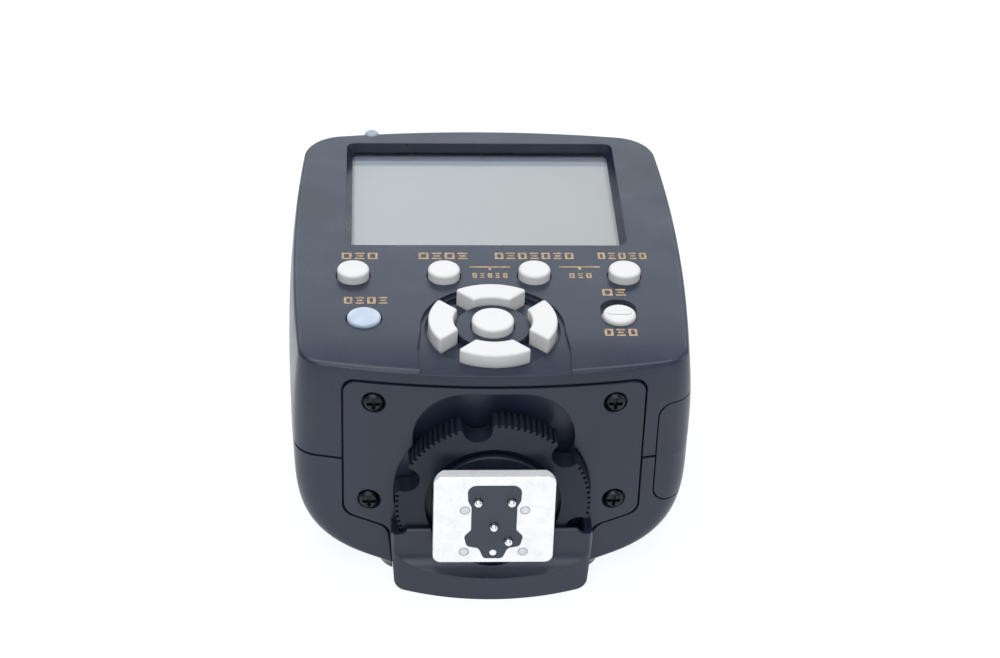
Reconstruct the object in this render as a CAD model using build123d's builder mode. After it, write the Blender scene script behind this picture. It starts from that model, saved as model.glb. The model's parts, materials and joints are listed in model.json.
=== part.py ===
"""Wireless flash trigger, lying on its back with the control panel up and the shoe foot towards -Y.

Millimetres. X runs to the right across the panel, Y away from the shoe foot, Z up out of the panel.
The origin is the middle of the footprint, on the surface that the trigger lies on.
"""
from build123d import *
import os

os.makedirs("parts", exist_ok=True)

# ---------------------------------------------------------------- driving dimensions
front_y = -34.22  # the front face, at its middle
panel_z = 38.0
panel_t = 1.8
wall = 2.0
seam_z = 20.8
front_bow_r = 119.0  # radius of the bowed front face, in plan
near_half = 29.6
mid_half = 31.3
far_half = 29.7
far_corner = 72.6  # from the front face to the far corners
far_bow = 2.6
clearance = 0.2
seam_gap = 0.4  # reveal between the shells
cover_gap = 0.3

foot_z = 15.6  # height of the foot, wheel and disc axis
foot_face = 6.6  # how far the foot's outer face stands in front of the front face
foot_w = 18.6
foot_l = 16.5
foot_t = 2.0

wheel_r = 15.1
wheel_front = 2.5
wheel_back = -1.2
neck_half = 15.9
neck_taper = 0.8  # narrowing of each side of the neck, down to the underside
lip_reach = 6.6

row_y = front_y + 27.9
row_pitch = 14.43
pad_y = front_y + 13.4
side_y = front_y + 15.7  # test key
slider_y = front_y + 16.3  # power knob at its near end
side_x = 19.9
key_top = panel_z + 1.5
key_travel = 0.6

cell_r = 7.25
cell_len = 50.5
cell_left = -24.0
cell_z = 21.5
cell_ys = [front_y + 15.9, front_y + 30.8]

door_x = 25.5
door_low = 12.2
door_high = 30.8
hinge_x = 31.0
hinge_y = front_y + 39.0
hinge_r = 0.8
hinge_pin_r = 0.3
hinge_gap = 1.35
pin_slide = 3.0

under_panel = panel_z - panel_t
board_z = 31.4
board_t = 1.4
board_top = board_z + board_t


def save(piece, name):
    """Label a finished piece and write it as a STEP file."""
    piece.part.label = name
    export_step(piece.part, f"parts/{name}.step")


def front(depth):
    """Plane facing the foot side, at a depth behind the front face; its own Y axis points up."""
    return Plane((0, front_y + depth, 0), x_dir=(1, 0, 0), z_dir=(0, -1, 0))


def outline(level, near_grow, grow, front_back, far_back, corner_cut):
    """Plan outline of the body at one height."""
    near_x = near_half + near_grow
    near_y = front_y + front_back + near_x**2 / (2 * front_bow_r)
    far_x = far_half + grow
    far_y = front_y + far_corner + grow - far_back
    with BuildSketch(Plane.XY.offset(level)) as sketch:
        with BuildLine():
            ThreePointArc((-near_x, near_y), (0, front_y + front_back), (near_x, near_y))
            ThreePointArc((near_x, near_y), (mid_half + grow, front_y + 36), (far_x, far_y))
            ThreePointArc((far_x, far_y), (0, far_y + far_bow), (-far_x, far_y))
            ThreePointArc((-far_x, far_y), (-mid_half - grow, front_y + 36), (-near_x, near_y))
        make_face()
        fillet(sketch.vertices().group_by(Axis.Y)[0], 4.5 - corner_cut)
        fillet(sketch.vertices().group_by(Axis.Y)[-1], 7.0 - corner_cut)
    return sketch.sketch


def hull(sections, inset=0.0):
    """Loft through body outlines, each pulled in by inset all round."""
    faces = []
    for level, near_grow, grow, front_back, far_back in sections:
        faces.append(outline(level, near_grow - inset, grow - inset, front_back + inset, far_back, inset))
    with BuildPart() as body:
        loft(sections=faces)
    return body.part


def cover_outline(grow):
    """Front-view outline of the foot cover: plate above, neck below."""
    plate = 23.0 + grow
    neck = neck_half + grow
    shoulder = 9.8 - grow
    with BuildSketch(front(8)) as sketch:
        with BuildLine():
            Polyline(
                (-neck + neck_taper, 0), (-neck, shoulder - 1.2), (-plate, shoulder + 0.9),
                (-plate, 35.6 + grow), (plate, 35.6 + grow), (plate, shoulder + 0.9),
                (neck, shoulder - 1.2), (neck - neck_taper, 0), close=True,
            )
        make_face()
        fillet(sketch.vertices().filter_by(lambda v: v.Y > 30), 2.0)
        fillet(sketch.vertices().filter_by(lambda v: 5 < v.Y < 15 and abs(v.X) > 20), 2.2)
        fillet(sketch.vertices().filter_by(lambda v: 5 < v.Y < 15 and abs(v.X) < 20), 2.2)
    return sketch.sketch


def bowed_slab(near, far, half_width):
    """Plate that follows the bow of the front face, between two depths, full height."""
    bow = half_width**2 / (2 * front_bow_r)
    with BuildPart() as slab:
        with BuildSketch(Plane.XY):
            with BuildLine():
                near_line = ThreePointArc(
                    (-half_width, front_y + near + bow), (0, front_y + near),
                    (half_width, front_y + near + bow),
                )
                far_line = ThreePointArc(
                    (-half_width, front_y + far + bow), (0, front_y + far), (half_width, front_y + far + bow)
                )
                Line(near_line @ 0, far_line @ 0)
                Line(near_line @ 1, far_line @ 1)
            make_face()
        extrude(amount=panel_z)
    return slab.part


# ---------------------------------------------------------------- outer and inner hulls
# (height, growth at the near corners, growth elsewhere, set-back of the front, set-back of the far end)
upper_sections = [
    (seam_z, 0.85, 0.85, 0.0, 0.0),
    (29.0, 0.8, 0.8, 0.0, 0.0),
    (34.5, 0.4, 0.45, 0.1, 0.1),
    (panel_z, 0.0, 0.0, 0.9, 0.4),
]
lower_sections = [
    (0.0, -13.0, -12.0, 0.0, 16.0),
    (3.0, -7.0, -5.0, 0.0, 8.5),
    (8.0, -1.0, -0.4, 0.0, 3.2),
    (14.0, 0.65, 0.7, 0.0, 0.8),
    (seam_z, 0.85, 0.85, 0.0, 0.0),
]
inner_upper_sections = [
    (seam_z - 0.1, 0.85, 0.85, 0.0, 0.0),
    (29.0, 0.8, 0.8, 0.0, 0.0),
    (under_panel, 0.2, 0.2, 0.4, 0.3),
]
inner_lower_sections = [
    (wall, -13.0, -12.0, 0.0, 16.0),
    (3.0 + wall, -7.0, -5.0, 0.0, 8.5),
    (8.0 + wall / 2, -1.0, -0.4, 0.0, 3.2),
    (14.0, 0.65, 0.7, 0.0, 0.8),
    (seam_z + 0.1, 0.85, 0.85, 0.0, 0.0),
]
upper_outer = hull(upper_sections)
lower_outer = hull(lower_sections)
upper_inner = hull(inner_upper_sections, wall)
lower_inner = hull(inner_lower_sections, wall)


def chine_profile(depth, drop, lift):
    """Front-view area under the chine of the right-hand corner, on a plane at one depth."""
    low = lift - drop
    with BuildSketch(front(depth)) as profile:
        with BuildLine():
            edge = Line((neck_half - lift, 9.3 + low), (25.0, 10.3 + low))
            side = Spline((25.0, 10.3 + low), (28.4, 11.6 + low), (30.2, 14.2 + low), (30.9, 18.0 + low))
            Polyline(
                side @ 1, (36, 20 + low), (36, -20), (neck_half - neck_taper - lift, -20),
                (neck_half - neck_taper - lift, 0), edge @ 0,
            )
        make_face()
    return profile.sketch


def chine_cut(lift):
    """Sloping cuts under the front corners, either side of the neck."""
    with BuildPart() as cut:
        extrude(chine_profile(1.5, 0, lift), amount=4)
        loft(sections=[chine_profile(1.5, 0, lift), chine_profile(19.5, 12.8, lift)])
        mirror(about=Plane.YZ)
    return cut.part


def mechanism_opening(grow, near, far):
    """Round opening for the wheel housing, with the arch of the finger pocket above it."""
    with BuildPart() as cut:
        with BuildSketch(front(far)):
            with Locations((0, foot_z)):
                Circle(17.0 + grow)
            with Locations((0, 29.6)):
                Rectangle(2 * (13.7 + grow), 2 * (5.8 + grow))
        extrude(amount=far - near)
    return cut.part


# ---------------------------------------------------------------- battery door space
def door_space(grow):
    """Everything the battery door may occupy, from its front flange to its hinge line."""
    height = door_high - door_low + 2 * grow
    middle = (door_high + door_low) / 2
    with BuildPart() as space:
        with BuildSketch(front(45)):
            with Locations((door_x - grow + 10, middle)):
                RectangleRounded(20, height, 2.5)
        extrude(amount=50)
        with BuildSketch(Plane.XY.offset(0)):
            with Locations(((door_x - grow + 40) / 2, (front_y - 5 + hinge_y + grow) / 2)):
                Rectangle(40 - door_x + grow, hinge_y + grow - front_y + 5)
        extrude(amount=panel_z, mode=Mode.INTERSECT)
    return space.part


door_shadow = door_space(clearance)
with BuildPart() as hinge_groove:
    with BuildSketch(Plane.XY.offset(door_low - clearance)):
        with Locations((hinge_x, hinge_y)):
            Circle(hinge_r + clearance)
        with Locations((hinge_x + 2, hinge_y)):
            Rectangle(4, 2 * hinge_gap)
    extrude(amount=door_high - door_low + 2 * clearance)
    with BuildSketch(Plane.XY.offset(door_low - 1.0)):
        with Locations((hinge_x, hinge_y - pin_slide / 2)):
            SlotOverall(pin_slide + 2 * (hinge_pin_r + 0.05), 2 * (hinge_pin_r + 0.05), rotation=90)
    extrude(amount=door_high - door_low + 2.0)

# ---------------------------------------------------------------- lower shell
cover_screws = [(-18.4, 32.2), (18.4, 32.2), (-19.1, 13.6), (19.1, 13.6)]
case_screws = [(-26.6, front_y + 43), (26.6, front_y + 43), (-25.0, front_y + 62), (25.0, front_y + 62)]
screw_seat_z = 10.5

boss_r = 3.2


def common_front_cuts():
    """What is cut out of both shells at the front: cover recess, wheel housing, screw pilots and door."""
    with BuildPart() as cuts:
        with BuildPart(mode=Mode.PRIVATE) as recess:
            extrude(cover_outline(cover_gap), amount=20, both=True)
            add(bowed_slab(-3.0, 1.85, 30.0), mode=Mode.INTERSECT)
        add(recess.part)
        add(mechanism_opening(0.25, 1.0, 7.0))
        for x, z in cover_screws:
            with BuildSketch(front(5.0)):
                with Locations((x, z)):
                    Circle(0.8)
            extrude(amount=4.5)
        add(door_shadow)
        add(hinge_groove.part)
    return cuts.part


front_cuts = common_front_cuts()

with BuildPart() as lower_shell:
    add(lower_outer)
    with BuildPart(mode=Mode.PRIVATE) as lower_cavity:
        add(lower_inner)
        add(chine_cut(2.4), mode=Mode.SUBTRACT)
    add(lower_cavity.part, mode=Mode.SUBTRACT)
    add(bowed_slab(1.0, 4.0, 25.0))
    with BuildSketch(Plane.XY.offset(1.0)):
        with Locations((0, front_y + 23)):
            with GridLocations(38, 0, 2, 1):
                Rectangle(1.5, 30)
    extrude(amount=11.4)
    for x, y in case_screws:
        with BuildSketch(Plane.XY.offset(2.0)):
            with Locations((x, y)):
                Circle(boss_r)
        extrude(amount=seam_z - 2.0)
    add(lower_outer, mode=Mode.INTERSECT)
    add(chine_cut(0), mode=Mode.SUBTRACT)
    add(front_cuts, mode=Mode.SUBTRACT)
    for x, y in case_screws:
        with BuildSketch(Plane.XY.offset(-1)):
            with Locations((x, y)):
                Circle(2.2)
        extrude(amount=screw_seat_z + 1, mode=Mode.SUBTRACT)
        with BuildSketch(Plane.XY):
            with Locations((x, y)):
                Circle(1.15)
        extrude(amount=seam_z + 1, mode=Mode.SUBTRACT)
save(lower_shell, "lower_shell")

# ---------------------------------------------------------------- upper shell with the control panel
opening_half = 23.0
window_half = 22.0
opening_near = front_y + 37.1
opening_far = front_y + 70.4
window_near = front_y + 37.2
window_far = front_y + 70.2
pad_r = 10.0
pad_inner_r = 6.1
pad_gap = 1.85
scoop_depth = 0.5
slider_travel = 2.0
knob_r = 2.6
led_x = -18.7
led_y = front_y + 73.9


def key_ring(outer, inner, gap):
    """Four arc shapes round the pad's middle, parted by diagonal gaps."""
    with BuildSketch() as ring:
        with Locations((0, pad_y)):
            Circle(outer)
            Circle(inner, mode=Mode.SUBTRACT)
            for turn in (45, -45):
                Rectangle(2 * outer + 2, 2 * gap, rotation=turn, mode=Mode.SUBTRACT)
    return ring.sketch


row_xs = [(i - 1.5) * row_pitch for i in range(4)]
with BuildPart() as upper_shell:
    add(upper_outer)
    fillet(upper_shell.faces().sort_by(Axis.Z)[-1].edges(), 0.8)
    add(upper_inner, mode=Mode.SUBTRACT)
    with BuildPart(mode=Mode.PRIVATE) as front_frame:
        add(bowed_slab(1.0, 4.0, 25.0))
        add(upper_inner, mode=Mode.INTERSECT)
        add(upper_outer, mode=Mode.INTERSECT)
    add(front_frame.part)
    for x, y in case_screws:
        with BuildPart(mode=Mode.PRIVATE) as boss:
            with BuildSketch(Plane.XY.offset(seam_z)):
                with Locations((x, y)):
                    Circle(boss_r)
                with Locations((x * 1.15, y)):
                    Rectangle(8, 3)
            extrude(amount=board_z - 0.2 - seam_z)
            add(upper_outer, mode=Mode.INTERSECT)
        add(boss.part)
    add(front_cuts, mode=Mode.SUBTRACT)
    with BuildPart(mode=Mode.PRIVATE) as seam_reveal:
        extrude(outline(seam_z - 0.1, 2, 2, -1, -1, 0), amount=seam_gap + 0.1)
        extrude(outline(seam_z - 0.1, 0.4, 0.4, 0.45, 0, 0.4), amount=seam_gap + 0.1, mode=Mode.SUBTRACT)
    add(seam_reveal.part, mode=Mode.SUBTRACT)
    for x, y in case_screws:
        with BuildSketch(Plane.XY.offset(seam_z - 1)):
            with Locations((x, y)):
                Circle(0.85)
        extrude(amount=9, mode=Mode.SUBTRACT)
    # display opening, bevelled down to the window
    with BuildSketch(Plane.XY.offset(panel_z + 0.01)) as opening_top:
        with Locations((0, (opening_near + opening_far) / 2)):
            RectangleRounded(2 * opening_half, opening_far - opening_near, 1.6)
    with BuildSketch(Plane.XY.offset(under_panel - 0.01)) as opening_bottom:
        with Locations((0, (window_near + window_far) / 2)):
            RectangleRounded(2 * window_half, window_far - window_near, 0.8)
    loft(sections=[opening_bottom.sketch, opening_top.sketch], mode=Mode.SUBTRACT)
    # scoop round the pad, open to the near edge
    with BuildSketch(Plane.XY.offset(panel_z - scoop_depth)):
        with Locations((0, pad_y)):
            Circle(11.2)
        with BuildLine():
            Polyline(
                (-11.1, pad_y), (-11.7, pad_y - 6), (-11.3, front_y - 2), (11.3, front_y - 2),
                (11.7, pad_y - 6), (11.1, pad_y), close=True,
            )
        make_face()
    extrude(amount=2, mode=Mode.SUBTRACT)
    with BuildSketch(Plane.XY.offset(panel_z - scoop_depth - 0.6)):
        with Locations((0, pad_y)):
            Circle(pad_r + 0.5)
    extrude(amount=2, mode=Mode.SUBTRACT)
    with BuildSketch(Plane.XY.offset(under_panel)):
        with Locations((0, pad_y)):
            Circle(pad_inner_r - 0.3)
    extrude(amount=panel_z + 0.1 - under_panel)
    with BuildSketch(Plane.XY.offset(under_panel - 1)):
        add(key_ring(pad_r + 0.2, pad_inner_r - 0.15, pad_gap - 0.2))
        with Locations((0, pad_y)):
            Circle(3.27 + 0.2)
        with Locations([(x, row_y) for x in row_xs]):
            Circle(2.55 + 0.2)
        with Locations((-side_x, side_y)):
            Circle(2.65 + 0.2)
        with Locations((side_x, slider_y + slider_travel / 2)):
            SlotOverall(2 * knob_r + 0.4 + slider_travel, 2 * knob_r + 0.4, rotation=90)
        with Locations((led_x, led_y)):
            Circle(1.3)
    extrude(amount=4, mode=Mode.SUBTRACT)
save(upper_shell, "upper_shell")

# ---------------------------------------------------------------- foot cover: plate, neck and lip
pocket_depth = 3.0
stem_w = 11.4
stem_h = 11.5
stem_z = 15.9
stem_screw_spots = [(-7, stem_z - 7), (7, stem_z - 7), (-7, stem_z + 7), (7, stem_z + 7)]

with BuildPart() as foot_cover:
    # plate and the sides of the neck, following the bow of the front face
    extrude(cover_outline(0), amount=20, both=True)
    add(bowed_slab(0.0, 1.7, 30.0), mode=Mode.INTERSECT)
    # wheel housing behind the plate
    with BuildPart(mode=Mode.PRIVATE) as housing:
        add(mechanism_opening(0, 1.3, 4.3))
        with BuildSketch(Plane.XY):
            with Locations((0, front_y)):
                Rectangle(60, 20)
        extrude(amount=panel_z, mode=Mode.INTERSECT)
    add(housing.part)
    # neck wall in front of the wheel, sweeping into the lip
    with BuildPart(mode=Mode.PRIVATE) as neck:
        with BuildSketch(Plane.YZ.offset(-neck_half)):
            with BuildLine():
                Line((front_y + 1.0, 0), (front_y - 8, 0))
                Line((front_y - 8, 0), (front_y - 8, 3.9))
                Line((front_y - 8, 3.9), (front_y - 6.6, 4.15))
                TangentArc((front_y - 6.6, 4.15), (front_y - 3.5, 7.4), tangent=(1, 0.18))
                Line((front_y - 3.5, 7.4), (front_y - 3.5, 10.9))
                RadiusArc((front_y - 3.5, 10.9), (front_y - 3.0, 11.4), 0.5)
                Line((front_y - 3.0, 11.4), (front_y + 1.0, 11.4))
                Line((front_y + 1.0, 11.4), (front_y + 1.0, 0))
            make_face()
        extrude(amount=2 * neck_half)
        with BuildSketch(Plane.XY):
            with BuildLine():
                lip = ThreePointArc(
                    (-neck_half, front_y - 3.3), (0, front_y - lip_reach), (neck_half, front_y - 3.3)
                )
                Polyline(lip @ 1, (neck_half, front_y + 4), (-neck_half, front_y + 4), lip @ 0)
            lip_face = make_face()
            fillet(lip_face.vertices().sort_by(Axis.Y)[:2], 2.0)
        extrude(amount=panel_z, mode=Mode.INTERSECT)
        with BuildSketch(front(6)) as shoulders:
            with BuildLine():
                Polyline(
                    (-neck_half + neck_taper, 0), (-neck_half, 11.4), (neck_half, 11.4),
                    (neck_half - neck_taper, 0), close=True,
                )
            make_face()
            fillet(shoulders.vertices(), 1.6)
        extrude(amount=20, mode=Mode.INTERSECT)
    add(neck.part)
    # slot for the wheel, finger pocket, room for the camera shoe's front end
    with BuildSketch(front(1.5)):
        with Locations((0, foot_z)):
            Circle(wheel_r + 0.2)
        Rectangle(16, 3)
    extrude(amount=2.8 + 1.5, mode=Mode.SUBTRACT)
    with BuildSketch(front(pocket_depth)):
        with Locations((0, 26.0)):
            RectangleRounded(2 * 12.4, 2 * 8.6, 8.5)
    extrude(amount=8, mode=Mode.SUBTRACT)
    with BuildSketch(front(-2.7)):
        with Locations((0, foot_z)):
            Circle(10.4)
    extrude(amount=8, mode=Mode.SUBTRACT)
    with BuildSketch(front(0.5)):
        with Locations((-14.7, 12.2), (14.7, 12.2)):
            Circle(1.7)
    extrude(amount=8, mode=Mode.SUBTRACT)
    # keyway for the stem and seats for the screws
    with BuildSketch(front(6)):
        with Locations((0, stem_z)):
            RectangleRounded(stem_w + 0.1, stem_h + 0.1, 2.0)
    extrude(amount=8, mode=Mode.SUBTRACT)
    with BuildSketch(front(6)):
        with Locations(stem_screw_spots):
            Circle(0.6)
    extrude(amount=4.1, mode=Mode.SUBTRACT)
    for x, z in cover_screws:
        with BuildSketch(front(5)):
            with Locations((x, z)):
                Circle(1.15)
        extrude(amount=8, mode=Mode.SUBTRACT)
        with BuildSketch(front(2.45)):
            with Locations((x, z)):
                Circle(1.85)
        extrude(amount=4, mode=Mode.SUBTRACT)
save(foot_cover, "foot_cover")

# ---------------------------------------------------------------- screws
def phillips(size, depth, level):
    """Cross recess cut into a screw head, on a plane given by its level."""
    with BuildPart() as cross:
        with BuildSketch(level):
            Rectangle(size, size / 4)
            Rectangle(size / 4, size)
        extrude(amount=-depth)
    return cross.part


with BuildPart() as foot_cover_screws:
    for x, z in cover_screws:
        with BuildPart(mode=Mode.PRIVATE) as screw:
            with BuildSketch(front(2.45)):
                with Locations((x, z)):
                    Circle(1.6)
            extrude(amount=1.5)
            fillet(screw.faces().sort_by(Axis.Y)[0].edges(), 0.85)
            with BuildSketch(front(4.8)):
                with Locations((x, z)):
                    Circle(0.75)
            extrude(amount=2.4)
            top = Plane((x, front_y + 0.95, z), x_dir=(1, 0, 0), z_dir=(0, -1, 0))
            add(phillips(2.1, 0.9, top), mode=Mode.SUBTRACT)
        add(screw.part)
save(foot_cover_screws, "foot_cover_screws")

with BuildPart() as case_screw_set:
    for x, y in case_screws:
        with BuildPart(mode=Mode.PRIVATE) as screw:
            with BuildSketch(Plane.XY.offset(screw_seat_z)):
                with Locations((x, y)):
                    Circle(2.0)
            extrude(amount=-1.4)
            fillet(screw.faces().sort_by(Axis.Z)[0].edges(), 0.4)
            with BuildSketch(Plane.XY.offset(screw_seat_z)):
                with Locations((x, y)):
                    Circle(0.8)
            extrude(amount=17.5)
            seat = Plane((x, y, screw_seat_z - 1.4), x_dir=(1, 0, 0), z_dir=(0, 0, -1))
            add(phillips(2.2, 0.8, seat), mode=Mode.SUBTRACT)
        add(screw.part)
save(case_screw_set, "case_screws")

# ---------------------------------------------------------------- battery door on its sliding hinge
door_skin = 1.8
door_sections = inner_lower_sections[2:4] + [(seam_z, 0.85, 0.85, 0.0, 0.0)] + inner_upper_sections[1:]
cell_a_y, cell_b_y = cell_ys
plate_x = 27.2
with BuildPart() as battery_door:
    add(upper_outer)
    add(lower_outer)
    add(door_space(0), mode=Mode.INTERSECT)
    add(chine_cut(0), mode=Mode.SUBTRACT)
    with BuildPart(mode=Mode.PRIVATE) as door_cavity:
        add(hull(door_sections, door_skin))
        add(chine_cut(1.9), mode=Mode.SUBTRACT)
    add(door_cavity.part, mode=Mode.SUBTRACT)
    with BuildPart(mode=Mode.PRIVATE) as ribs:
        for y in (front_y + 11, front_y + 23.4, front_y + 35.5):
            with BuildSketch(Plane.XY.offset(16.5)):
                with Locations(((plate_x + 0.4 + 31) / 2, y)):
                    Rectangle(31 - plate_x - 0.4, 1.0)
            extrude(amount=10)
        add(lower_outer + upper_outer, mode=Mode.INTERSECT)
    add(ribs.part)
    with BuildSketch(Plane.XY.offset(door_low)):
        with Locations((hinge_x, hinge_y)):
            Circle(hinge_r)
    extrude(amount=door_high - door_low)
    with BuildSketch(Plane.XY.offset(door_low - 1)):
        with Locations((hinge_x, hinge_y)):
            Circle(hinge_pin_r + 0.05)
    extrude(amount=door_high - door_low + 2, mode=Mode.SUBTRACT)
    for level in (23.9, 25.7, 27.5):
        with BuildSketch(Plane.YZ.offset(31.75)):
            with Locations((front_y + 10, level)):
                SlotOverall(7, 0.7)
        extrude(amount=2, mode=Mode.SUBTRACT)
save(battery_door, "battery_door")

with BuildPart() as battery_door_pin:
    with BuildSketch(Plane.XY.offset(door_low - 0.9)):
        with Locations((hinge_x, hinge_y)):
            Circle(hinge_pin_r)
    extrude(amount=door_high - door_low + 1.8)
save(battery_door_pin, "battery_door_pin")

with BuildPart() as door_contact:
    with BuildSketch(Plane.YZ.offset(plate_x)):
        with Locations((front_y + 23.2, cell_z)):
            RectangleRounded(26.4, 9, 1.5)
    extrude(amount=0.4)
save(door_contact, "door_contact")


def coil(center, direction, radius, wire, length, turns):
    """Helical spring starting at a point and running along a direction."""
    with BuildPart() as spring:
        with BuildLine():
            path = Helix(length / turns, length, radius, center=center, direction=direction)
        with BuildSketch(Plane(path @ 0, z_dir=path % 0)):
            Circle(wire)
        sweep(path=path, is_frenet=True)
    return spring.part


with BuildPart() as door_spring:
    add(coil((plate_x - 0.35, cell_b_y, cell_z), (-1, 0, 0), 2.4, 0.3, 2.4, 2.5))
save(door_spring, "door_spring")

# ---------------------------------------------------------------- batteries and their tray
tray_left = -27.8
with BuildPart() as battery_tray:
    with BuildSketch(Plane.XY.offset(12.4)):
        with Locations(((tray_left + 25) / 2, front_y + 23.7)):
            Rectangle(25 - tray_left, 29.8)
    extrude(amount=4.6)
    with BuildSketch(Plane.XY.offset(12.4)):
        with Locations((tray_left + 0.45, front_y + 23.7)):
            Rectangle(0.9, 29.8)
    extrude(amount=14.6)
    for y in cell_ys:
        with BuildSketch(Plane.YZ.offset(tray_left + 0.9)):
            with Locations((y, cell_z)):
                Circle(cell_r + 0.15)
        extrude(amount=60, mode=Mode.SUBTRACT)
save(battery_tray, "battery_tray")


def battery(left, y, flip, name):
    """One AA cell along X, with its nub on the right unless flipped."""
    start = left if not flip else left + cell_len
    with BuildPart() as cell:
        with BuildSketch(Plane((start, y, cell_z), z_dir=(-1 if flip else 1, 0, 0))):
            Circle(cell_r)
        extrude(amount=cell_len - 1.2)
        fillet(cell.edges().filter_by(GeomType.CIRCLE), 0.5)
        with BuildSketch(Plane((start, y, cell_z), z_dir=(-1 if flip else 1, 0, 0))):
            Circle(2.75)
        extrude(amount=cell_len)
    save(cell, name)


battery(-23.4, cell_a_y, False, "battery_1")
battery(-26.5, cell_b_y, True, "battery_2")

with BuildPart() as battery_plates:
    with BuildSketch(Plane.YZ.offset(tray_left + 0.9)):
        with Locations((cell_a_y, cell_z), (cell_b_y, cell_z)):
            RectangleRounded(9, 9, 1.5)
    extrude(amount=0.3)
save(battery_plates, "battery_plates")

with BuildPart() as battery_spring:
    add(coil((tray_left + 1.55, cell_a_y, cell_z), (1, 0, 0), 2.6, 0.3, 2.3, 2.5))
save(battery_spring, "battery_spring")

# ---------------------------------------------------------------- display stack
def plate(half_width, near, far, low, high, corner):
    """Flat rounded plate between two depths and two heights."""
    with BuildPart() as slab:
        with BuildSketch(Plane.XY.offset(low)):
            with Locations((0, front_y + (near + far) / 2)):
                RectangleRounded(2 * half_width, far - near, corner)
        extrude(amount=high - low)
    return slab


save(plate(22.9, 36.2, 71.1, 35.4, under_panel, 1.2), "display_window")
save(plate(22.6, 36.5, 70.9, 34.2, 35.4, 0.8), "lcd_glass")
save(plate(22.6, 36.4, 70.9, board_top, 34.2, 0.8), "lcd_backlight")

with BuildPart() as status_lens:
    with BuildSketch(Plane.XY.offset(35.3)):
        with Locations((led_x, led_y)):
            Circle(1.25)
    extrude(amount=panel_z + 0.15 - 35.3)
    fillet(status_lens.faces().sort_by(Axis.Z)[-1].edges(), 0.5)
save(status_lens, "status_lens")

# ---------------------------------------------------------------- boards
with BuildPart() as main_board:
    with BuildSketch(Plane.XY.offset(board_z)):
        with Locations((0, front_y + (7.4 + 67.5) / 2)):
            RectangleRounded(53, 67.5 - 7.4, 1.5)
        with Locations((0, front_y + 8)):
            Rectangle(23, 4)
    extrude(amount=board_t)
save(main_board, "main_board")

with BuildPart() as board_components:
    for x, d, w, h, t in (
        (-12, 24, 9, 9, 1.2), (6, 22, 7, 7, 1.0), (16, 26, 5, 4, 1.6), (-3, 34, 6, 3, 1.4),
        (-20, 34, 3.2, 2.5, 1.2), (14, 36, 4.5, 3.2, 1.8), (0, 12, 10, 2.6, 1.5), (20, 14, 3, 6, 1.3),
    ):
        with BuildSketch(Plane.XY.offset(board_z)):
            with Locations((x, front_y + d)):
                Rectangle(w, h)
        extrude(amount=-t)
save(board_components, "board_components")

with BuildPart() as radio_module:
    with BuildSketch(Plane.XY.offset(board_z)):
        with Locations((0, front_y + 54)):
            Rectangle(26, 18)
    extrude(amount=-0.8)
save(radio_module, "radio_module")

with BuildPart() as radio_shield:
    with BuildSketch(Plane.XY.offset(board_z - 0.8)):
        with Locations((-3, front_y + 54)):
            Rectangle(16, 13)
    extrude(amount=-2.4)
    with BuildSketch(Plane.XY.offset(board_z - 0.8)):
        with Locations((-3, front_y + 54)):
            Rectangle(15.4, 12.4)
    extrude(amount=-2.1, mode=Mode.SUBTRACT)
save(radio_shield, "radio_shield")

with BuildPart() as antenna:
    with BuildSketch(Plane.XY.offset(board_z - 0.8)):
        with Locations((10.5, front_y + 60)):
            Circle(0.4)
    extrude(amount=-14)
    fillet(antenna.faces().sort_by(Axis.Z)[0].edges(), 0.2)
    with BuildSketch(Plane.XY.offset(board_z - 0.8)):
        with Locations((10.5, front_y + 60)):
            Circle(1.1)
    extrude(amount=-1.6)
save(antenna, "antenna")

# ---------------------------------------------------------------- keypad
pad_spots = {
    "pad_right": (8.0, pad_y),
    "pad_up": (0, pad_y + 8.0),
    "pad_left": (-8.0, pad_y),
    "pad_down": (0, pad_y - 6.6),
}
dome_top = 34.3
flange_low = 35.4
flange_high = under_panel - 0.1
stem_low = dome_top + key_travel + 0.1
dome_spots = [(x, row_y) for x in row_xs] + [(-side_x, side_y), (0, pad_y)] + list(pad_spots.values())

with BuildPart() as keypad_membrane:
    with BuildSketch(Plane.XY.offset(board_top)):
        with Locations((0, front_y + 19.9)):
            Rectangle(51, 24.6)
        with Locations((0, front_y + 7)):
            Rectangle(22, 2.6)
        with Locations((side_x, slider_y + slider_travel / 2)):
            Rectangle(9, 10.4, mode=Mode.SUBTRACT)
    extrude(amount=0.7)
    with BuildSketch(Plane.XY.offset(board_top)):
        with Locations(dome_spots):
            Circle(1.0)
    extrude(amount=dome_top - board_top)
save(keypad_membrane, "keypad_membrane")


def round_key(x, y, radius, flange, top, name):
    """Round push key with a domed cap, a retaining flange and a short stem."""
    with BuildPart() as key:
        with BuildSketch(Plane.XY.offset(flange_low)):
            with Locations((x, y)):
                Circle(radius)
        extrude(amount=top - flange_low)
        fillet(key.faces().sort_by(Axis.Z)[-1].edges(), 0.45)
        with BuildSketch(Plane.XY.offset(flange_low)):
            with Locations((x, y)):
                Circle(flange)
        extrude(amount=flange_high - flange_low)
        with BuildSketch(Plane.XY.offset(stem_low)):
            with Locations((x, y)):
                Circle(0.9)
        extrude(amount=flange_low - stem_low)
    save(key, name)


for i, x in enumerate(row_xs):
    round_key(x, row_y, 2.55, 3.3, key_top, f"button_{i + 1}")
round_key(-side_x, side_y, 2.65, 3.4, panel_z + 0.55, "test_button")
round_key(0, pad_y, 3.27, 3.9, key_top, "pad_centre")


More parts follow.
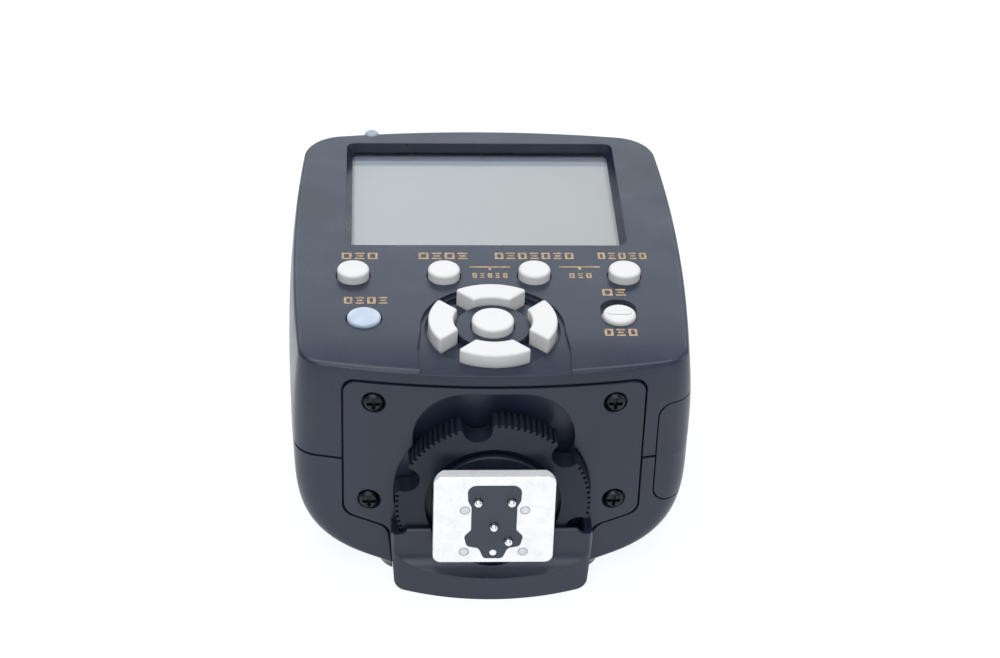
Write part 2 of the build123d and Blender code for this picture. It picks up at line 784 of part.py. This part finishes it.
def pad_key(axis, end, name):
    """One arc of the four-way pad."""
    cap_face = key_ring(pad_r, pad_inner_r, pad_gap).faces().sort_by(axis)[end]
    flange_face = key_ring(pad_r + 0.6, pad_inner_r - 0.7, pad_gap - 0.6).faces().sort_by(axis)[end]
    x, y = pad_spots[name]
    with BuildPart() as key:
        extrude(Plane.XY.offset(flange_high) * cap_face, amount=key_top - flange_high)
        fillet(key.edges().filter_by(Axis.Z), 0.45)
        fillet(key.faces().sort_by(Axis.Z)[-1].edges(), 0.35)
        with BuildPart(mode=Mode.PRIVATE) as flange:
            extrude(Plane.XY.offset(flange_low) * flange_face, amount=flange_high - flange_low)
            with BuildSketch(Plane.XY.offset(flange_low)):
                with Locations((0, front_y + 4.8 + 20)):
                    Rectangle(60, 40)
            extrude(amount=flange_high - flange_low, mode=Mode.INTERSECT)
        add(flange.part)
        with BuildSketch(Plane.XY.offset(stem_low)):
            with Locations((x, y)):
                Circle(0.8)
        extrude(amount=flange_low - stem_low)
    save(key, name)


pad_key(Axis.X, -1, "pad_right")
pad_key(Axis.Y, -1, "pad_up")
pad_key(Axis.X, 0, "pad_left")
pad_key(Axis.Y, 0, "pad_down")

# ---------------------------------------------------------------- power switch
with BuildPart() as power_slider:
    with BuildSketch(Plane.XY.offset(flange_low)):
        with Locations((side_x, slider_y)):
            Circle(knob_r)
    extrude(amount=panel_z + 0.7 - flange_low)
    fillet(power_slider.faces().sort_by(Axis.Z)[-1].edges(), 0.55)
    with BuildSketch(Plane.XY.offset(panel_z + 0.4)):
        with Locations((side_x, slider_y)):
            SlotOverall(3.8, 1.1)
    extrude(amount=0.4)
    with BuildSketch(Plane.XY.offset(flange_low)):
        with Locations((side_x, slider_y)):
            Rectangle(7.2, 9.0)
    extrude(amount=flange_high - flange_low)
    with BuildSketch(Plane.XY.offset(33.6)):
        with Locations((side_x, slider_y)):
            Rectangle(2.0, 2.6)
    extrude(amount=flange_low - 33.6)
save(power_slider, "power_slider")

with BuildPart() as power_switch:
    with BuildSketch(Plane.XY.offset(board_top)):
        with Locations((side_x, slider_y + slider_travel / 2)):
            Rectangle(7.5, 8.4)
    extrude(amount=2.2)
    with BuildSketch(Plane.XY.offset(33.4)):
        with Locations((side_x, slider_y + slider_travel / 2)):
            Rectangle(2.3, 2.9 + slider_travel)
    extrude(amount=3, mode=Mode.SUBTRACT)
save(power_switch, "power_switch")

# ---------------------------------------------------------------- shoe foot, contact insert and stem
foot_low = 7.4
foot_high = foot_low + foot_l
foot_back = foot_face - foot_t
contact_spots = [(-2.48, 19.34), (2.6, 19.34), (0, 14.63), (2.3, 11.81)]
rivet_spots = [(-4.5, 17.7), (4.7, 17.7), (-4.5, 9.6), (4.6, 9.6)]
lock_pin_spot = (0, 9.27)
pin_bore = 0.8
hollow_z = 15.8
hollow_w = 9.0
hollow_h = 10.1


def insert_outline(grow):
    """Front-view outline of the plastic insert in the foot."""
    half = [
        (4.15, 22.4), (4.0, 19.4), (3.45, 18.2), (3.45, 13.9),
        (4.5, 12.7), (4.1, 10.7), (2.2, 10.3), (1.4, 8.3),
    ]
    radii = [1.4, 1.2, 0.8, 0.8, 0.8, 0.9, 0.8, 0.7]
    right = [(x + grow, z + (grow if z > 15 else -grow)) for x, z in half]
    left = [(-x, z) for x, z in reversed(right)]
    with BuildSketch(front(-foot_back)) as sketch:
        with BuildLine():
            FilletPolyline(*right, *left, radius=radii + radii[::-1], close=True)
        make_face()
    return sketch.sketch


with BuildPart() as shoe_foot:
    with BuildSketch(front(-foot_back)) as foot_sketch:
        with Locations((0, (foot_low + foot_high) / 2)):
            RectangleRounded(foot_w, foot_l, 1.3)
    extrude(amount=foot_t)
    fillet(shoe_foot.faces().sort_by(Axis.Y)[0].edges(), 0.3)
    for side in (-1, 1):
        with BuildSketch(Plane.XY.offset(foot_high - 2.2)):
            with BuildLine():
                Polyline(
                    (side * foot_w / 2, front_y - foot_back - 1.2),
                    (side * (foot_w / 2 + 1), front_y - foot_back + 1),
                    (side * (foot_w / 2 - 1.6), front_y - foot_back + 0.1), close=True,
                )
            make_face()
        extrude(amount=4, mode=Mode.SUBTRACT)
    extrude(insert_outline(0.04), amount=foot_t + 1, mode=Mode.SUBTRACT)
    with BuildSketch(front(-foot_back)):
        with Locations(rivet_spots):
            Circle(0.8)
    extrude(amount=foot_t + 1, mode=Mode.SUBTRACT)
save(shoe_foot, "shoe_foot")

with BuildPart() as foot_rivets:
    with BuildSketch(front(-foot_back)):
        with Locations(rivet_spots):
            Circle(0.8)
    extrude(amount=foot_t + 0.03)
save(foot_rivets, "foot_rivets")

with BuildPart() as contact_insert:
    extrude(insert_outline(0), amount=foot_t - 0.05)
    with BuildSketch(front(5.6)):
        with Locations((0, hollow_z)):
            RectangleRounded(hollow_w - 0.1, hollow_h - 0.1, 1.2)
    extrude(amount=5.6 + foot_back)
    with BuildSketch(front(6)):
        with Locations(contact_spots):
            Circle(pin_bore)
    extrude(amount=10.5, mode=Mode.SUBTRACT)
    with BuildSketch(front(6)):
        with Locations(contact_spots):
            Circle(0.7)
    extrude(amount=16, mode=Mode.SUBTRACT)
    with BuildSketch(front(-3)):
        with Locations(lock_pin_spot):
            Circle(0.66)
    extrude(amount=8, mode=Mode.SUBTRACT)
save(contact_insert, "contact_insert")

with BuildPart() as foot_stem:
    with BuildSketch(front(4.3)):
        with Locations((0, stem_z)):
            RectangleRounded(stem_w, stem_h, 2.0)
    extrude(amount=4.3 + foot_back)
    with BuildSketch(front(5.4)):
        with Locations((0, stem_z)):
            RectangleRounded(17, 17, 3.0)
    extrude(amount=1.1)
    with BuildSketch(front(6)):
        with Locations((0, hollow_z)):
            RectangleRounded(hollow_w, hollow_h, 1.2)
    extrude(amount=16, mode=Mode.SUBTRACT)
    with BuildSketch(front(6)):
        with Locations(stem_screw_spots):
            Circle(0.7)
    extrude(amount=3, mode=Mode.SUBTRACT)
save(foot_stem, "foot_stem")

with BuildPart() as stem_screws:
    for x, z in stem_screw_spots:
        with BuildPart(mode=Mode.PRIVATE) as screw:
            with BuildSketch(front(6.1)):
                with Locations((x, z)):
                    Circle(1.2)
            extrude(amount=0.7)
            with BuildSketch(front(5.4)):
                with Locations((x, z)):
                    Circle(0.55)
            extrude(amount=3.4)
        add(screw.part)
save(stem_screws, "stem_screws")

# ---------------------------------------------------------------- sprung contact pins
for i, (x, z) in enumerate(contact_spots):
    with BuildPart() as contact_pin:
        with BuildSketch(front(-3.7)):
            with Locations((x, z)):
                Circle(0.65)
        extrude(amount=foot_face + 1.0 - 3.7)
        fillet(contact_pin.faces().sort_by(Axis.Y)[0].edges(), 0.6)
        with BuildSketch(front(-3.7)):
            with Locations((x, z)):
                Circle(0.75)
        extrude(amount=0.7)
    save(contact_pin, f"contact_pin_{i + 1}")

with BuildPart() as contact_barrels:
    with BuildSketch(front(5.6)):
        with Locations(contact_spots):
            Circle(pin_bore - 0.02)
            Circle(0.6, mode=Mode.SUBTRACT)
    extrude(amount=8.3)
save(contact_barrels, "contact_barrels")

with BuildPart() as contact_springs:
    for x, z in contact_spots:
        add(coil((x, front_y - 2.5, z), (0, 1, 0), 0.42, 0.1, 5.0, 5))
save(contact_springs, "contact_springs")

with BuildPart() as contact_board:
    with BuildSketch(front(6.5)):
        with Locations((0, stem_z)):
            Rectangle(10.4, 11)
    extrude(amount=0.9)
save(contact_board, "contact_board")

with BuildPart() as ribbon_cable:
    with BuildSketch(front(6.8)):
        with Locations((0, (13 + board_z) / 2)):
            Rectangle(6, board_z - 13)
    extrude(amount=0.3)
save(ribbon_cable, "ribbon_cable")

# ---------------------------------------------------------------- lock wheel, pressure disc and lock pin
bore_r = 8.46
hub_r = 8.4
disc_front = 3.0
disc_flange = 1.0
with BuildPart() as lock_wheel:
    with BuildSketch(front(-wheel_back)) as wheel_sketch:
        with Locations((0, foot_z)):
            Circle(wheel_r)
            Circle(bore_r, mode=Mode.SUBTRACT)
            with PolarLocations(14.4, 6, start_angle=100.6):
                Circle(2.25, mode=Mode.SUBTRACT)
            with PolarLocations(14.4, 6, start_angle=100.6):
                Polygon(
                    (0, -2.25), (0.25, -2.4), (0.5, -2.75), (1.2, -3.1),
                    (1.2, 3.1), (0.5, 2.75), (0.25, 2.4), (0, 2.25), align=None, mode=Mode.SUBTRACT,
                )
            for start in range(10):
                with PolarLocations(wheel_r, 6, start_angle=130.6 + (start - 4.5) * 3.8):
                    Rectangle(1.0, 0.45, mode=Mode.SUBTRACT)
    extrude(amount=wheel_front - wheel_back)
    with BuildSketch(front(-1.3)):
        with Locations((0, foot_z)):
            Circle(10.5)
    extrude(amount=3, mode=Mode.SUBTRACT)
save(lock_wheel, "lock_wheel")

with BuildPart() as pressure_disc:
    with BuildSketch(front(-disc_front + disc_flange)):
        with Locations((0, foot_z)):
            Circle(9.5)
    extrude(amount=disc_flange)
    fillet(pressure_disc.faces().sort_by(Axis.Y)[0].edges(), 0.25)
    with BuildSketch(front(0.8)):
        with Locations((0, foot_z)):
            Circle(hub_r)
    extrude(amount=0.8 + disc_front - disc_flange)
    with BuildSketch(front(2)):
        with Locations((0, stem_z)):
            RectangleRounded(stem_w + 0.1, stem_h + 0.1, 2.0)
        with Locations(lock_pin_spot):
            Circle(0.6)
    extrude(amount=8, mode=Mode.SUBTRACT)
save(pressure_disc, "pressure_disc")

with BuildPart() as lock_pin:
    with BuildSketch(front(-disc_front + disc_flange)):
        with Locations(lock_pin_spot):
            Circle(0.6)
    extrude(amount=foot_face - 0.1 - disc_front + disc_flange)
    fillet(lock_pin.faces().sort_by(Axis.Y)[0].edges(), 0.15)
save(lock_pin, "lock_pin")
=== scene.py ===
"""Looks of the wireless flash trigger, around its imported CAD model. Metres, in the model's own frame."""

import json
import math

import bmesh
import bpy
from mathutils import Matrix, Vector


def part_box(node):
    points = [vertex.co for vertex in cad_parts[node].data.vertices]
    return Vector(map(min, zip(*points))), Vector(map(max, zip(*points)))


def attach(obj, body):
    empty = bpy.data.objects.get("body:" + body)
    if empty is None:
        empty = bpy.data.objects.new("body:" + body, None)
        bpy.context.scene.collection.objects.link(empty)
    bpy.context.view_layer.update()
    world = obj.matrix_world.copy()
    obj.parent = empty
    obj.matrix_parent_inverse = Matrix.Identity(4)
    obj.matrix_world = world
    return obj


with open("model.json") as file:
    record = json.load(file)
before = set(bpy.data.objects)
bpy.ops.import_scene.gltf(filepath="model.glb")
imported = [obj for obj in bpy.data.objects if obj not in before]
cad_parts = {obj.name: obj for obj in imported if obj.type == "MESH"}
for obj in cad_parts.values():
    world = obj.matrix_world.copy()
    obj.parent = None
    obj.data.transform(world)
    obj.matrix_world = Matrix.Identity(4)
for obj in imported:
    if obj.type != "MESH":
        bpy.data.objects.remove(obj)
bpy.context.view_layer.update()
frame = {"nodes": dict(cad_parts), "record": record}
NODES = frame["nodes"]
MM = 0.001
FRONT_Y = -34.22 * MM  # the case's front face, at its middle
PANEL_Z = 38.0 * MM  # the control panel's surface
FOOT_FACE_Y = FRONT_Y - 6.6 * MM  # the shoe foot's face


# ---------------------------------------------------------------- node helpers
class Graph:
    """A material's node tree, with short calls for the nodes that this scene uses."""

    def __init__(self, name):
        self.material = bpy.data.materials.new(name)
        self.material.use_nodes = True
        self.nodes = self.material.node_tree.nodes
        self.links = self.material.node_tree.links
        self.nodes.clear()
        self.output = self.nodes.new("ShaderNodeOutputMaterial")
        self.coords = self.nodes.new("ShaderNodeTexCoord").outputs["Object"]

    def node(self, kind, inputs=None, **settings):
        made = self.nodes.new(kind)
        for key, value in settings.items():
            setattr(made, key, value)
        for key, value in (inputs or {}).items():
            self.put(made.inputs[key], value)
        return made

    def put(self, socket, value):
        if isinstance(value, bpy.types.NodeSocket):
            self.links.new(value, socket)
        else:
            socket.default_value = value

    def mapped(self, scale):
        made = self.node("ShaderNodeMapping", {"Vector": self.coords})
        made.inputs["Scale"].default_value = scale
        return made.outputs["Vector"]

    def noise(self, scale, detail=2.0, rough=0.5, vector=None):
        made = self.node(
            "ShaderNodeTexNoise",
            {"Vector": vector or self.coords, "Scale": scale, "Detail": detail, "Roughness": rough},
        )
        return made.outputs["Fac"]

    def ramp(self, value, low, high, out_low=0.0, out_high=1.0):
        made = self.node(
            "ShaderNodeMapRange",
            {"Value": value, "From Min": low, "From Max": high, "To Min": out_low, "To Max": out_high},
        )
        return made.outputs["Result"]

    def math(self, operation, a, b=0.5):
        return self.node("ShaderNodeMath", {0: a, 1: b}, operation=operation).outputs[0]

    def mix(self, factor, a, b):
        made = self.node("ShaderNodeMix", {"Factor": factor}, data_type="RGBA")
        self.put(made.inputs[6], a)
        self.put(made.inputs[7], b)
        return made.outputs[2]

    def bump(self, height, strength, distance, normal=None):
        made = self.node(
            "ShaderNodeBump", {"Height": height, "Strength": strength, "Distance": distance}
        )
        if normal is not None:
            self.links.new(normal, made.inputs["Normal"])
        return made.outputs["Normal"]

    def rounded(self, radius):
        return self.node("ShaderNodeBevel", {"Radius": radius}, samples=4).outputs["Normal"]

    def surface(self, **sockets):
        shader = self.node("ShaderNodeBsdfPrincipled")
        for key, value in sockets.items():
            self.put(shader.inputs[key.replace("_", " ")], value)
        self.links.new(shader.outputs["BSDF"], self.output.inputs["Surface"])
        return self.material


def rgb(r, g, b):
    return (r, g, b, 1.0)


def shade(colour, share):
    return tuple(min(1.0, c * share) for c in colour[:3]) + (1.0,)


def panel_front(g, normal, roll):
    """Normal and gloss of the panel near its front, where it falls by roll mm and is less shiny."""
    depth_y = g.node("ShaderNodeSeparateXYZ", {"Vector": g.coords}).outputs["Y"]
    ahead = g.ramp(depth_y, FRONT_Y + 11 * MM, FRONT_Y + 1 * MM)
    fall = g.node(
        "ShaderNodeBump",
        {"Height": g.math("POWER", ahead, 2.0), "Strength": 1.0, "Distance": roll * MM, "Normal": normal},
        invert=True,
    )
    outward = g.node("ShaderNodeNewGeometry").outputs["Normal"]
    upward = g.ramp(g.node("ShaderNodeSeparateXYZ", {"Vector": outward}).outputs["Z"], 0.96, 0.995)
    handled = g.math("MULTIPLY", g.ramp(depth_y, FRONT_Y + 18 * MM, FRONT_Y + 3 * MM), upward)
    return fall.outputs["Normal"], g.ramp(handled, 0, 1, 0.5, 0.33)


def moulded(name, colour, rough, grain=0.16, depth=0.012, edge=0.12, mottle=0.14, roll=0.0, ior=1.5):
    """Moulded plastic: fine grain, faint mottling, rubbed patches and soft edges. Lengths are in mm."""
    g = Graph(name)
    patches = g.noise(55, 4, 0.55)
    specks = g.noise(900, 2, 0.6)
    tone = g.mix(g.ramp(patches, 0.35, 0.65), shade(colour, 1 - mottle), shade(colour, 1 + mottle))
    tone = g.mix(g.ramp(specks, 0.66, 0.74, 0, 0.15), tone, shade(colour, 1.9))
    roughness = g.ramp(g.noise(140, 5, 0.6), 0.3, 0.7, rough - 0.05, rough + 0.06)
    normal = g.rounded(edge * MM)
    gloss = 0.5
    if roll:
        normal, gloss = panel_front(g, normal, roll)
    normal = g.bump(g.noise(1 / (grain * MM), 3, 0.65), 0.6, depth * MM, normal)
    return g.surface(
        Base_Color=tone, Roughness=roughness, Normal=normal, IOR=ior, Specular_IOR_Level=gloss
    )


def metal(name, colour, rough, edge=0.1, share=1.0):
    """Metal with fine lines brushed along Z and light scuffs. share is how metallic it is."""
    g = Graph(name)
    lines = g.noise(1.0, 3, 0.6, g.mapped((9000, 9000, 500)))
    scuffs = g.noise(700, 5, 0.7)
    tone = g.mix(g.ramp(scuffs, 0.4, 0.7), colour, shade(colour, 0.86))
    roughness = g.ramp(g.math("ADD", lines, scuffs), 0.8, 1.2, rough - 0.05, rough + 0.05)
    normal = g.bump(lines, 0.35, 0.004 * MM, g.rounded(edge * MM))
    return g.surface(Base_Color=tone, Metallic=share, Roughness=roughness, Normal=normal)


def clear_window():
    """The display's clear cover: see-through, with a polished reflection and faint wiped haze."""
    g = Graph("window_clear")
    haze = g.ramp(g.noise(90, 4, 0.6), 0.4, 0.75, 0.03, 0.12)
    gloss = g.node("ShaderNodeBsdfGlossy", {"Color": rgb(1, 1, 1), "Roughness": haze})
    through = g.node("ShaderNodeBsdfTransparent", {"Color": rgb(0.96, 0.97, 0.98)})
    fresnel = g.node("ShaderNodeFresnel", {"IOR": 1.45})
    mixed = g.node(
        "ShaderNodeMixShader",
        {"Fac": fresnel.outputs["Fac"], 1: through.outputs["BSDF"], 2: gloss.outputs["BSDF"]},
    )
    g.links.new(mixed.outputs["Shader"], g.output.inputs["Surface"])
    return g.material


def liquid_crystal():
    """Grey display cell: cooler at the left, warmer at the right, with a painted shadow of the window's
    rear wall as a darker band at its rear end.
    """
    g = Graph("lcd_cell")
    low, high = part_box("lcd_glass")
    split = g.node("ShaderNodeSeparateXYZ", {"Vector": g.coords})
    across = g.ramp(split.outputs["X"], low.x, high.x)
    tone = g.mix(across, rgb(0.71, 0.71, 0.685), rgb(0.685, 0.67, 0.63))
    tone = g.mix(g.ramp(g.noise(30, 3, 0.5), 0.3, 0.7, 0, 0.12), tone, rgb(0.61, 0.62, 0.625))
    # painted shadow: the window's rear wall darkens the rear end of the cell
    rear_wall_shadow = g.ramp(split.outputs["Y"], high.y - 4.2 * MM, high.y - 3.4 * MM)
    tone = g.mix(rear_wall_shadow, tone, rgb(0.36, 0.40, 0.45))
    return g.surface(Base_Color=tone, Roughness=0.32)


def translucent(name, colour):
    """Frosted translucent plastic."""
    g = Graph(name)
    tone = g.mix(g.ramp(g.noise(600, 3, 0.6), 0.35, 0.65), colour, shade(colour, 0.88))
    normal = g.bump(g.noise(5000, 2, 0.6), 0.3, 0.01 * MM, g.rounded(0.1 * MM))
    return g.surface(
        Base_Color=tone, Roughness=0.22, Normal=normal, Subsurface_Weight=0.5,
        Subsurface_Radius=(2 * MM, 2.5 * MM, 3 * MM), Subsurface_Scale=0.5,
    )


def circuit_board(name, colour):
    """Solder resist with tracks and pads."""
    g = Graph(name)
    tracks = g.node("ShaderNodeTexVoronoi", {"Vector": g.coords, "Scale": 420.0}, distance="CHEBYCHEV")
    line = g.ramp(tracks.outputs["Distance"], 0.42, 0.5)
    tone = g.mix(line, colour, shade(colour, 1.7))
    pads = g.node("ShaderNodeTexVoronoi", {"Vector": g.coords, "Scale": 300.0})
    tone = g.mix(g.ramp(pads.outputs["Distance"], 0.16, 0.12), tone, rgb(0.75, 0.62, 0.3))
    normal = g.bump(line, 0.3, 0.02 * MM)
    return g.surface(Base_Color=tone, Roughness=0.3, Normal=normal, Coat_Weight=0.4)


def cell_wrap():
    """Battery sleeve: dark in the middle, lighter towards both ends, with metal caps."""
    g = Graph("cell_sleeve")
    split = g.node("ShaderNodeSeparateXYZ", {"Vector": g.coords})
    band = g.ramp(g.math("ABSOLUTE", split.outputs["X"]), 13.5 * MM, 13.7 * MM)
    tone = g.mix(band, rgb(0.045, 0.05, 0.06), rgb(0.62, 0.36, 0.16))
    ends = g.ramp(g.math("ABSOLUTE", split.outputs["X"]), 23.25 * MM, 23.3 * MM)
    tone = g.mix(ends, tone, rgb(0.7, 0.7, 0.71))
    scuffs = g.ramp(g.noise(350, 4, 0.6), 0.3, 0.7, 0.22, 0.42)
    normal = g.bump(g.noise(2500, 2, 0.5), 0.2, 0.01 * MM)
    return g.surface(Base_Color=tone, Metallic=ends, Roughness=scuffs, Normal=normal, Coat_Weight=0.3)


MATERIALS = {
    "housing": moulded("housing_plastic", rgb(0.012, 0.018, 0.0345), 0.30, edge=0.28, roll=0.36),
    "black_plastic": moulded("slider_plastic", rgb(0.014, 0.018, 0.025), 0.32),
    "wheel_plastic": moulded("wheel_plastic", rgb(0.010, 0.015, 0.025), 0.32, edge=0.15, ior=1.36),
    "key_plastic": moulded(
        "key_plastic", rgb(0.70, 0.665, 0.635), 0.42, grain=0.25, depth=0.006, edge=0.25, mottle=0.02
    ),
    "clear_plastic": translucent("test_key_plastic", rgb(0.50, 0.55, 0.64)),
    "window": clear_window(),
    "lcd": liquid_crystal(),
    "diffuser": moulded("diffuser_plastic", rgb(0.8, 0.8, 0.8), 0.3, mottle=0.02),
    "foot_metal": metal("foot_nickel", rgb(0.97, 0.955, 0.94), 0.3, share=0.4),
    "insert_plastic": moulded("insert_plastic", rgb(0.026, 0.036, 0.050), 0.42),
    "stem_metal": metal("stem_metal", rgb(0.72, 0.73, 0.75), 0.3),
    "screw_steel": metal("screw_steel", rgb(0.035, 0.038, 0.043), 0.34, edge=0.06),
    "spring_steel": metal("spring_steel", rgb(0.66, 0.67, 0.69), 0.25, edge=0.04),
    "contact_gold": metal("contact_plating", rgb(0.93, 0.92, 0.90), 0.16, edge=0.04),
    "board_green": circuit_board("board_resist", rgb(0.02, 0.10, 0.05)),
    "component_black": moulded("component_epoxy", rgb(0.03, 0.03, 0.033), 0.5),
    "shield_tin": metal("shield_tin", rgb(0.7, 0.71, 0.72), 0.35),
    "keypad_rubber": moulded("keypad_silicone", rgb(0.55, 0.55, 0.53), 0.6, mottle=0.05),
    "cable_white": moulded("cable_film", rgb(0.7, 0.7, 0.66), 0.4, mottle=0.04),
    "cell_wrap": cell_wrap(),
}
for row in frame["record"]["subparts"]:
    node = NODES[row["node"]]
    node.data.materials.clear()
    node.data.materials.append(MATERIALS[row["material_slot"]])
NODES["status_lens"].data.materials[0] = translucent("lens_plastic", rgb(0.30, 0.33, 0.38))


# ---------------------------------------------------------------- printed marks
def print_material():
    """Orange-gold screen print, a little worn."""
    g = Graph("print_gold")
    wear = g.ramp(g.noise(1400, 4, 0.6), 0.3, 0.62)
    tone = g.mix(wear, rgb(0.22, 0.15, 0.09), rgb(0.52, 0.34, 0.185))
    return g.surface(Base_Color=tone, Roughness=0.55)


PRINT = print_material()
PRINT_TOP = PANEL_Z + 0.025 * MM
PRINT_FOOT = PANEL_Z - 0.01 * MM


def printed(name, marks):
    """Thin printed bars on the panel, with round corners.

    Each is (x, depth, width, height) in mm, where depth is measured from the case's front face.
    """
    mesh = bpy.data.meshes.new(name)
    bm = bmesh.new()
    for x, depth, width, height in marks:
        r = min(width, height) * 0.3
        ring = []
        for cx, cy, start in ((1, 1, 0), (-1, 1, 90), (-1, -1, 180), (1, -1, 270)):
            for step in range(4):
                a = math.radians(start + step * 30)
                px = x + cx * (width / 2 - r) + r * math.cos(a)
                py = depth + cy * (height / 2 - r) + r * math.sin(a)
                ring.append((px * MM, FRONT_Y + py * MM))
        top = [bm.verts.new((px, py, PRINT_TOP)) for px, py in ring]
        foot = [bm.verts.new((px, py, PRINT_FOOT)) for px, py in ring]
        bm.faces.new(top)
        bm.faces.new(list(reversed(foot)))
        for i in range(len(ring)):
            j = (i + 1) % len(ring)
            bm.faces.new((foot[i], foot[j], top[j], top[i]))
    bm.to_mesh(mesh)
    bm.free()
    obj = bpy.data.objects.new(name, mesh)
    bpy.context.scene.collection.objects.link(obj)
    mesh.materials.append(PRINT)
    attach(obj, "case")


FIGURE_GAP = 0.5  # mm, between the figures of a row


def word(left, right, depth, count, height=1.9, stroke=0.38):
    """Stroke figures in a row between two sides, boxes and bars in turn: a stand-in for a printed word."""
    pitch = (right - left) / count
    width = pitch - FIGURE_GAP
    marks = []
    for i in range(count):
        x = left + (i + 0.5) * pitch
        barred = i % 2
        for side in (-1, 1):
            marks.append((x, depth + side * (height - stroke) / 2, width, stroke))
            if not barred:
                marks.append((x + side * (width - stroke) / 2, depth, stroke, height - 2 * stroke))
        if barred:
            marks.append((x, depth, width * 0.7, stroke))
    return marks


def bracket(x, depth):
    """A line that joins two keys, with a short tick down from its middle."""
    return [(x, depth, 6.6, 0.35), (x, depth - 0.5, 0.5, 0.7)]


printed(
    "marks_row",
    word(-23.8, -17.5, 33.75, 3) + word(-11.4, -3.0, 33.8, 4)
    + word(0.9, 14.15, 33.85, 7) + word(17.6, 26.0, 33.9, 5),
)
printed(
    "marks_between",
    bracket(0.2, 30.5) + bracket(14.65, 30.55)
    + word(-2.9, 3.2, 28.0, 5, 1.4, 0.3) + word(12.6, 16.65, 27.95, 3, 1.4, 0.3),
)
printed("marks_test", word(-23.3, -16.0, 20.75, 4))
printed("marks_power", word(17.5, 21.7, 23.1, 2) + word(17.0, 22.55, 11.8, 3))


# ---------------------------------------------------------------- rivet rings
RIVET_PLACES = [(-4.5, 17.7), (4.7, 17.7), (-4.5, 9.6), (4.6, 9.6)]  # x and z, in mm
RING_RADIUS = 0.68 * MM
RING_WIRE = 0.045 * MM


def worn_ring(name, x, z):
    """Dark hairline round a rivet head on the foot's face."""
    bpy.ops.mesh.primitive_torus_add(
        major_radius=RING_RADIUS, minor_radius=RING_WIRE, major_segments=40, minor_segments=8,
        location=(x * MM, FOOT_FACE_Y, z * MM), rotation=(math.pi / 2, 0, 0),
    )
    ring = bpy.context.object
    ring.name = name
    ring.data.materials.append(MATERIALS["screw_steel"])
    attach(ring, "case")


for i, (x, z) in enumerate(RIVET_PLACES):
    worn_ring(f"rivet_ring_{i + 1}", x, z)


# ---------------------------------------------------------------- floor, light and camera
def floor_material():
    """Pale lit floor: mostly its own light, and grey enough to take soft shadows."""
    g = Graph("studio_floor")
    tone = g.mix(g.noise(4, 2, 0.5), rgb(0.11, 0.115, 0.12), rgb(0.12, 0.125, 0.13))
    return g.surface(
        Base_Color=tone, Roughness=0.8, Emission_Color=rgb(0.95, 0.975, 1.0), Emission_Strength=0.93
    )


FLOOR_SIZE = 8.0
bpy.ops.mesh.primitive_plane_add(size=FLOOR_SIZE, location=(0, 0, 0))
floor = bpy.context.object
floor.name = "studio_floor"
floor.data.materials.append(floor_material())


MIDDLE = Vector((0.0, 0.0, 0.03))  # of the object


def softbox(name, place, size, power, colour):
    """Rectangular area light that faces the object's middle."""
    data = bpy.data.lights.new(name, "AREA")
    data.shape = "RECTANGLE"
    data.size, data.size_y = size
    data.energy = power
    data.color = colour
    lamp = bpy.data.objects.new(name, data)
    bpy.context.scene.collection.objects.link(lamp)
    lamp.location = place
    lamp.rotation_euler = (MIDDLE - Vector(place)).to_track_quat("-Z", "Y").to_euler()


softbox("top_box", (-0.1, 0.05, 0.9), (1.1, 0.9), 7.4, (0.96, 0.975, 1.0))
softbox("back_box", (0.0, 0.95, 0.50), (1.4, 0.42), 3.2, (0.86, 0.93, 1.0))
softbox("front_fill", (-0.1, -0.9, 0.6), (1.0, 0.6), 4.4, (0.90, 0.945, 1.0))
softbox("side_box", (0.9, 0.1, 0.35), (0.7, 0.5), 1.6, (0.90, 0.95, 1.0))

world = bpy.data.worlds.new("studio")
bpy.context.scene.world = world
world.use_nodes = True
backdrop = world.node_tree.nodes["Background"]
backdrop.inputs["Color"].default_value = rgb(0.78, 0.88, 1.0)
backdrop.inputs["Strength"].default_value = 0.42
bpy.context.scene.view_settings.view_transform = "Standard"


LENS_MM = 87.84
SENSOR_MM = 36.0
CAMERA_PLACE = Vector((-18.466, -299.079, 248.562)) * MM + Vector((0, FRONT_Y, 0))
CAMERA_PITCH, CAMERA_YAW, CAMERA_ROLL = 33.977, 3.589, 2.0155  # degrees: down, to the right, right side up


def view_camera():
    """Camera set by where it stands and its pitch, yaw and roll."""
    data = bpy.data.cameras.new("view")
    data.lens, data.sensor_width = LENS_MM, SENSOR_MM
    data.clip_start, data.clip_end = 0.01, 20
    pitch, yaw, roll = (math.radians(a) for a in (CAMERA_PITCH, CAMERA_YAW, CAMERA_ROLL))
    ahead = Vector((math.sin(yaw) * math.cos(pitch), math.cos(yaw) * math.cos(pitch), -math.sin(pitch)))
    right = Vector((math.cos(yaw), -math.sin(yaw), 0))
    up = right.cross(ahead)
    side = right * math.cos(roll) + up * math.sin(roll)
    top = up * math.cos(roll) - right * math.sin(roll)
    camera = bpy.data.objects.new("view", data)
    bpy.context.scene.collection.objects.link(camera)
    turn = Matrix((side, top, -ahead)).transposed().to_4x4()
    camera.matrix_world = Matrix.Translation(CAMERA_PLACE) @ turn
    bpy.context.scene.camera = camera


view_camera()
